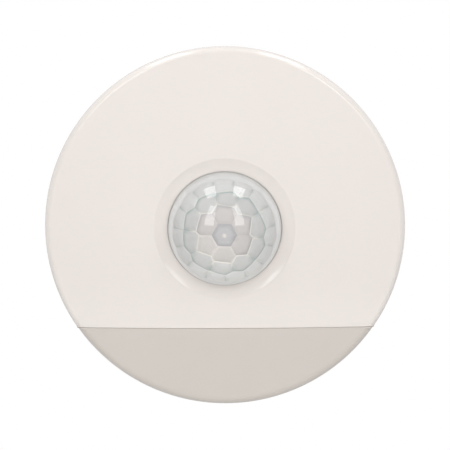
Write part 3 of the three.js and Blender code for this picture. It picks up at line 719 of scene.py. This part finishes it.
def lens_facets():
    """The inside of the dome: lens cells that swell between grooves, and a smooth border."""
    seeds = cell_seeds()
    rng = random.Random(TONE_SEED)
    points, faces, colours = [], [], []
    centre = Vector((0, DOME_CENTRE_Y, 0))
    for number, around, seed in seeds:
        rim = cell_rim(seed, seeds)
        middle = sum(rim, Vector()).normalized()
        if number == SMOOTH_RING:
            # painted shade: the border's colour is darker towards the top
            tone = 1 - BORDER_PAINTED_SHADE * smoothstep(0.2, 1.0, middle.z)
        else:
            # painted glow: the lowest cells' colour is brighter, on top of their random tone
            tone = rng.uniform(*TONES) * (1 + PAINTED_GLOW * smoothstep(0.2, 1.0, -middle.z))
        outward = (middle - AXIS * middle.dot(AXIS)).normalized()
        start = len(points)
        points.append(centre + middle * FACET_RADIUS)
        colours.append(cell_colour(number, around, 0.0, 0.0) * tone)
        for share in CELL_LOOPS:
            for direction in rim:
                toward = middle.lerp(direction, share).normalized()
                points.append(centre + toward * (FACET_RADIUS - cell_sink(number, share, toward)))
                facing = (direction - middle).normalized().dot(outward)
                colours.append(cell_colour(number, around, share, facing) * tone)
        count = len(rim)
        for i in range(count):
            following = (i + 1) % count
            faces.append((start, start + 1 + i, start + 1 + following))
            for inner in range(start + 1, start + 1 + (len(CELL_LOOPS) - 1) * count, count):
                outer = inner + count
                faces.append((inner + i, outer + i, outer + following, inner + following))
    piece = new_piece("lens_facets", points, faces, 30, attribute=("cell_tint_and_painted_light", colours))
    wall = piece.modifiers.new("wall", "SOLIDIFY")
    wall.thickness = FACET_WALL * MM
    wall.offset = -1
    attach(piece, "root")
    return piece


def lens_skirt():
    """The milky wall and flange that hold the dome behind the cover."""
    inner = FACET_RADIUS - FACET_WALL
    collar_y = dish_profile()[1] + COLLAR_DEPTH
    profile = [
        (FACET_RADIUS, SKIRT_FRONT_Y),
        (FACET_RADIUS, collar_y),
        (COLLAR_RADIUS - NUDGE, collar_y),
        (COLLAR_RADIUS, collar_y + NUDGE),
        (COLLAR_RADIUS, FLANGE_FRONT_Y - FLANGE_FILLET),
        (COLLAR_RADIUS + FLANGE_FILLET, FLANGE_FRONT_Y),
        (FLANGE_RADIUS - FLANGE_CHAMFER, FLANGE_FRONT_Y),
        (FLANGE_RADIUS, FLANGE_FRONT_Y + FLANGE_CHAMFER),
        (FLANGE_RADIUS, FLANGE_BACK_Y - FLANGE_CHAMFER),
        (FLANGE_RADIUS - FLANGE_CHAMFER, FLANGE_BACK_Y),
        (inner, FLANGE_BACK_Y),
        (inner, SKIRT_FRONT_Y),
    ]
    return stands_for(lathe("lens_skirt", profile, sharp_angle=40), "pir_lens")


def lens_shell():
    """The clear smooth skin over the dome."""
    inner = DOME_RADIUS - SHELL_WALL
    foot_y = dish_profile()[1] + COLLAR_DEPTH - 0.01
    outer_arc = bend(0, DOME_CENTRE_Y, DOME_RADIUS, DOME_RADIUS, 270, 360, 60)
    inner_arc = bend(0, DOME_CENTRE_Y, inner, inner, 360, 270, 60)
    profile = [
        (0, outer_arc[0][1]),
        *outer_arc[1:],
        (DOME_RADIUS, foot_y),
        (inner, foot_y),
        *inner_arc[:-1],
        (0, inner_arc[-1][1]),
    ]
    piece = lathe("lens_shell", profile, sharp_angle=50)
    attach(piece, "root")
    return piece


# ------------------------------------------------------------------ materials

METAL_GRAIN, METAL_GRAIN_DEPTH = 0.15, 0.006  # millimetres
TRACKS_PER_METRE = 260
TRACK_HEIGHT = 0.03
CELL_GRAIN_DEPTH = 0.004


def shader(name):
    """A new node material: its shader, its nodes and its links."""
    material = bpy.data.materials.new(name)
    material.use_nodes = True
    tree = material.node_tree
    return material, tree.nodes["Principled BSDF"], tree.nodes, tree.links


def object_noise(nodes, links, waves, detail=4, stretch=(1, 1, 1)):
    """Noise fixed to the piece, with this many waves in a metre."""
    place = nodes.new("ShaderNodeTexCoord")
    mapping = nodes.new("ShaderNodeMapping")
    mapping.inputs["Scale"].default_value = stretch
    noise = nodes.new("ShaderNodeTexNoise")
    noise.inputs["Scale"].default_value = waves
    noise.inputs["Detail"].default_value = detail
    links.new(place.outputs["Object"], mapping.inputs["Vector"])
    links.new(mapping.outputs["Vector"], noise.inputs["Vector"])
    return noise.outputs["Fac"]


def ramp(nodes, links, source, low, high, start=0.3, end=0.7):
    """Maps a value that runs from start to end onto the range from low to high."""
    node = nodes.new("ShaderNodeMapRange")
    node.inputs["From Min"].default_value = start
    node.inputs["From Max"].default_value = end
    node.inputs["To Min"].default_value = low
    node.inputs["To Max"].default_value = high
    links.new(source, node.inputs["Value"])
    return node.outputs["Result"]


def mix_colours(nodes, links, share, first, second):
    """The first colour, with this share of the second. Either can be a socket."""
    node = nodes.new("ShaderNodeMix")
    node.data_type = "RGBA"
    for socket, colour in (("A", first), ("B", second)):
        target = next(s for s in node.inputs if s.name == socket and s.type == "RGBA")
        if isinstance(colour, bpy.types.NodeSocket):
            links.new(colour, target)
        else:
            target.default_value = (*colour, 1.0)
    links.new(share, node.inputs["Factor"])
    return next(s for s in node.outputs if s.type == "RGBA")


def add_grain(nodes, links, principled, height, depth_mm):
    """Raises the surface by a noise or pattern."""
    bump = nodes.new("ShaderNodeBump")
    bump.inputs["Distance"].default_value = depth_mm * MM
    links.new(height, bump.inputs["Height"])
    links.new(bump.outputs["Normal"], principled.inputs["Normal"])


def set_roughness(nodes, links, principled, source, low, high):
    """Gives the gloss a noise's unevenness."""
    links.new(ramp(nodes, links, source, low, high), principled.inputs["Roughness"])


def plastic(
    name,
    colour,
    roughness,
    mottle,
    grain_mm,
    grain_depth,
    sss=0.0,
    shine=0.5,
    ior=1.5,
):
    """Moulded plastic: faint flow marks in its colour, uneven gloss and a fine tool grain."""
    material, principled, nodes, links = shader(name)
    flow = object_noise(nodes, links, waves=60, detail=3)
    darker = tuple(c * (1 - 2 * mottle) for c in colour)
    tone = mix_colours(nodes, links, ramp(nodes, links, flow, 0, 1), colour, darker)
    links.new(tone, principled.inputs["Base Color"])
    gloss = object_noise(nodes, links, waves=220)
    set_roughness(nodes, links, principled, gloss, roughness * 0.88, roughness * 1.12)
    grain = object_noise(nodes, links, waves=1 / (grain_mm * MM), detail=3)
    add_grain(nodes, links, principled, grain, grain_depth)
    principled.inputs["Specular IOR Level"].default_value = shine
    principled.inputs["IOR"].default_value = ior
    if sss:
        principled.inputs["Subsurface Weight"].default_value = sss
        principled.inputs["Subsurface Radius"].default_value = (1.0, 0.9, 0.8)
        principled.inputs["Subsurface Scale"].default_value = 1.5 * MM
    return material


def metal(name, colour, roughness, stretch=(1, 1, 1)):
    """Plated metal: slightly clouded, with fine lines along one direction."""
    material, principled, nodes, links = shader(name)
    principled.inputs["Metallic"].default_value = 1.0
    cloud = object_noise(nodes, links, waves=180)
    darker = tuple(c * 0.82 for c in colour)
    tone = mix_colours(nodes, links, ramp(nodes, links, cloud, 0, 1), colour, darker)
    links.new(tone, principled.inputs["Base Color"])
    lines = object_noise(nodes, links, waves=1 / (METAL_GRAIN * MM), stretch=stretch)
    set_roughness(nodes, links, principled, lines, roughness * 0.75, roughness * 1.3)
    add_grain(nodes, links, principled, lines, METAL_GRAIN_DEPTH)
    return material


def solder_mask(name, colour):
    """Circuit board: lacquer over copper tracks that stand a little proud."""
    material, principled, nodes, links = shader(name)
    place = nodes.new("ShaderNodeTexCoord")
    turn = nodes.new("ShaderNodeMapping")
    turn.inputs["Rotation"].default_value = (math.pi / 2, 0, 0)
    tracks = nodes.new("ShaderNodeTexBrick")
    tracks.inputs["Scale"].default_value = TRACKS_PER_METRE
    tracks.inputs["Mortar Size"].default_value = 0.06
    tracks.inputs["Mortar Smooth"].default_value = 0.3
    tracks.inputs["Color1"].default_value = (*(c * 0.9 for c in colour), 1)
    tracks.inputs["Color2"].default_value = (*colour, 1)
    tracks.inputs["Mortar"].default_value = (*(min(1, c * 1.9) for c in colour), 1)
    links.new(place.outputs["Object"], turn.inputs["Vector"])
    links.new(turn.outputs["Vector"], tracks.inputs["Vector"])
    links.new(tracks.outputs["Color"], principled.inputs["Base Color"])
    cloud = object_noise(nodes, links, waves=300, detail=3)
    set_roughness(nodes, links, principled, cloud, 0.28, 0.42)
    add_grain(nodes, links, principled, tracks.outputs["Fac"], TRACK_HEIGHT)
    return material


def facet_material():
    """Milky cells, slightly clouded, in the tints that their mesh was made with, painted shade and
    highlights among them.
    """
    material, principled, nodes, links = shader("lens_cells")
    tint = nodes.new("ShaderNodeAttribute")
    tint.attribute_name = "cell_tint_and_painted_light"
    cloud = object_noise(nodes, links, waves=500, detail=3)
    clouding = ramp(nodes, links, cloud, 0, 0.12)
    tone = mix_colours(nodes, links, clouding, tint.outputs["Color"], (0.5, 0.5, 0.48))
    links.new(tone, principled.inputs["Base Color"])
    set_roughness(nodes, links, principled, cloud, 0.38, 0.5)
    add_grain(nodes, links, principled, cloud, CELL_GRAIN_DEPTH)
    principled.inputs["Specular IOR Level"].default_value = 0.25
    return material


def shell_material():
    """The dome's thin glossy outside, nearly clear."""
    material, principled, nodes, links = shader("lens_skin")
    cloud = object_noise(nodes, links, waves=120, detail=3)
    clouding = ramp(nodes, links, cloud, 0, 1)
    tone = mix_colours(nodes, links, clouding, (0.74, 0.74, 0.73), (0.70, 0.71, 0.70))
    links.new(tone, principled.inputs["Base Color"])
    set_roughness(nodes, links, principled, cloud, 0.05, 0.07)
    principled.inputs["Specular IOR Level"].default_value = 1.0
    principled.inputs["IOR"].default_value = 2.5
    principled.inputs["Alpha"].default_value = 0.13
    material.surface_render_method = "BLENDED"
    return material


def cover_plastic():
    """Polished warm white plastic that reflects a little more than the others."""
    return plastic(
        "cover_plastic",
        (0.852, 0.793, 0.751),
        0.16,
        mottle=0.004,
        grain_mm=0.35,
        grain_depth=0.0015,
        sss=0.08,
        shine=1.0,
        ior=1.62,
    )


# The other plastics: colour, roughness, mottle, grain size and depth, and for two of them how much
# light spreads inside
PLASTICS = {
    "diffuser_plastic": ((0.66, 0.611, 0.567), 0.42, 0.008, 0.2, 0.004, 0.15),
    "inner_plastic": ((0.77, 0.75, 0.71), 0.45, 0.01, 0.2, 0.006),
    "housing_plastic": ((0.58, 0.59, 0.58), 0.5, 0.02, 0.25, 0.02),
    "black_plastic": ((0.02, 0.02, 0.023), 0.42, 0.1, 0.2, 0.012),
    "blue_plastic": ((0.03, 0.11, 0.39), 0.3, 0.05, 0.3, 0.004),
    "led_resin": ((0.88, 0.78, 0.42), 0.2, 0.02, 0.3, 0.003, 0.2),
    "varistor_coat": ((0.38, 0.08, 0.03), 0.35, 0.06, 0.5, 0.03),
    "white_board": ((0.8, 0.8, 0.78), 0.3, 0.01, 0.3, 0.004),
    "lens_wall": ((0.68, 0.68, 0.66), 0.4, 0.01, 0.3, 0.002),
    "floor_paint": ((0.68, 0.68, 0.67), 0.7, 0.01, 2.0, 0.01),
}
MATERIALS = {
    "cover_plastic": cover_plastic(),
    **{name: plastic(name, *look) for name, look in PLASTICS.items()},
    "frame_steel": metal("frame_steel", (0.62, 0.63, 0.64), 0.38, stretch=(1, 1, 6)),
    "screw_steel": metal("screw_steel", (0.66, 0.66, 0.64), 0.3),
    "terminal_brass": metal("terminal_brass", (0.72, 0.5, 0.18), 0.32),
    "sensor_can": metal("sensor_can", (0.7, 0.69, 0.66), 0.22),
    "circuit_board": solder_mask("circuit_board", (0.02, 0.16, 0.06)),
    "lens_cells": facet_material(),
    "lens_skin": shell_material(),
}


# ------------------------------------------------------------------ carried-over CAD nodes

CAD_WELD = 5e-6  # metres
SOFT_EDGE = 0.12
SOFT_EDGE_ANGLE = 38  # degrees


def dress(node):
    """Smooth shading, softened edges and the slot's material on a CAD node that stays."""
    piece = frame["nodes"][node]
    piece.data.materials.clear()
    piece.data.materials.append(MATERIALS[SLOT_OF_NODE[node]])
    piece.data.shade_smooth()
    weld = piece.modifiers.new("weld", "WELD")
    weld.merge_threshold = CAD_WELD
    edges = piece.modifiers.new("soft_edges", "BEVEL")
    edges.width = SOFT_EDGE * MM
    edges.segments = 2
    edges.limit_method = "ANGLE"
    edges.angle_limit = math.radians(SOFT_EDGE_ANGLE)
    edges.harden_normals = True


# ------------------------------------------------------------------ camera, lights and stage

# Soft lights: where they stand and how wide and high they are, in metres, and their radiance. The
# first two stand on both sides.
Panel = namedtuple("Panel", "place width height radiance")
OVERHEAD = Panel((0.235, 0.12, 0.6), 0.19, 0.5, 2.4)
FRONT = Panel((0.47, -0.76, 0.67), 0.32, 0.95, 1.8)
FILL = Panel((0, -1.08, 0.2), 0.9, 0.9, 1.85)
FLOOR_RADIUS = 500
FLOOR_TOP_Z = -150
FLOOR_THICKNESS = 8
FLOOR_SEGMENTS = 96


def aim(thing, target, roll=0.0):
    """Points a camera or a light at a target, and rolls it by this many degrees."""
    direction = Vector(target) - thing.location
    turn = direction.to_track_quat("-Z", "Y")
    thing.rotation_mode = "QUATERNION"
    thing.rotation_quaternion = Quaternion(direction, math.radians(roll)) @ turn


def make_camera():
    azimuth, elevation = math.radians(AZIMUTH), math.radians(ELEVATION)
    data = bpy.data.cameras.new("camera")
    data.sensor_width = SENSOR_WIDTH
    data.lens = SENSOR_WIDTH * DISTANCE / FRAME_WIDTH
    camera = bpy.data.objects.new("camera", data)
    bpy.context.scene.collection.objects.link(camera)
    target = Vector((0, WIDEST_Y, TARGET_Z)) * MM
    camera.location = target + DISTANCE * Vector(
        (
            math.sin(azimuth) * math.cos(elevation),
            -math.cos(azimuth) * math.cos(elevation),
            math.sin(elevation),
        )
    )
    aim(camera, target, ROLL)
    bpy.context.scene.camera = camera


def light_panel(name, panel, side, target):
    """A soft rectangular light that the camera doesn't see. Side -1 stands it on the other side."""
    data = bpy.data.lights.new(name, "AREA")
    data.shape = "RECTANGLE"
    data.size = panel.width
    data.size_y = panel.height
    data.energy = panel.radiance * math.pi * panel.width * panel.height
    light = bpy.data.objects.new(name, data)
    bpy.context.scene.collection.objects.link(light)
    x, y, z = panel.place
    light.location = (side * x, y, z)
    aim(light, target)
    light.visible_camera = False
    return light


def make_world():
    """White to the camera. What lights the object is dimmer, most of all the room in front."""
    world = bpy.data.worlds.new("studio")
    world.use_nodes = True
    nodes, links = world.node_tree.nodes, world.node_tree.links
    direction = nodes.new("ShaderNodeTexCoord")
    along = nodes.new("ShaderNodeSeparateXYZ")
    links.new(direction.outputs["Generated"], along.inputs["Vector"])
    light = ramp(nodes, links, along.outputs["Y"], ROOM_LIGHT, BACKDROP_LIGHT, *HORIZON)
    seen = nodes.new("ShaderNodeLightPath").outputs["Is Camera Ray"]
    brightness = nodes.new("ShaderNodeMath")
    brightness.operation = "MAXIMUM"
    links.new(light, brightness.inputs[0])
    links.new(seen, brightness.inputs[1])
    sky = nodes["Background"]
    sky.inputs["Color"].default_value = (1, 1, 1, 1)
    links.new(brightness.outputs["Value"], sky.inputs["Strength"])
    bpy.context.scene.world = world
    bpy.context.scene.view_settings.view_transform = "Standard"


def make_lights():
    for side in (-1, 1):
        x, y, z = OVERHEAD.place
        light_panel("overhead", OVERHEAD, side, (side * x, y, z - 1))
        light_panel("front", FRONT, side, (0, 0, FRONT.place[2]))
    fill = light_panel("fill", FILL, 1, (0, 0, 0))
    fill.visible_glossy = False


def make_stage():
    """A pale round floor under the object."""
    profile = [
        (0, 0),
        (FLOOR_RADIUS - 10, 0),
        (FLOOR_RADIUS - 2, 2),
        (FLOOR_RADIUS, 6),
        (FLOOR_RADIUS, FLOOR_THICKNESS),
        (0, FLOOR_THICKNESS),
    ]
    sections = []
    for i in range(FLOOR_SEGMENTS):
        turn = 2 * math.pi * i / FLOOR_SEGMENTS
        sections.append(
            [(r * math.cos(turn), r * math.sin(turn), FLOOR_TOP_Z - depth) for r, depth in profile]
        )
    floor = skin("floor", sections, ring_sections=False)
    floor.data.materials.append(MATERIALS["floor_paint"])


# ------------------------------------------------------------------ scene


def main():
    make_camera()
    make_world()
    make_lights()
    make_stage()
    looks = {
        front_cover(): "cover_plastic",
        light_diffuser(): "diffuser_plastic",
        lens_facets(): "lens_cells",
        lens_skirt(): "lens_wall",
        lens_shell(): "lens_skin",
    }
    for piece, look in looks.items():
        piece.data.materials.append(MATERIALS[look])
    for node, piece in frame["nodes"].items():
        if not piece.hide_render:
            dress(node)


main()
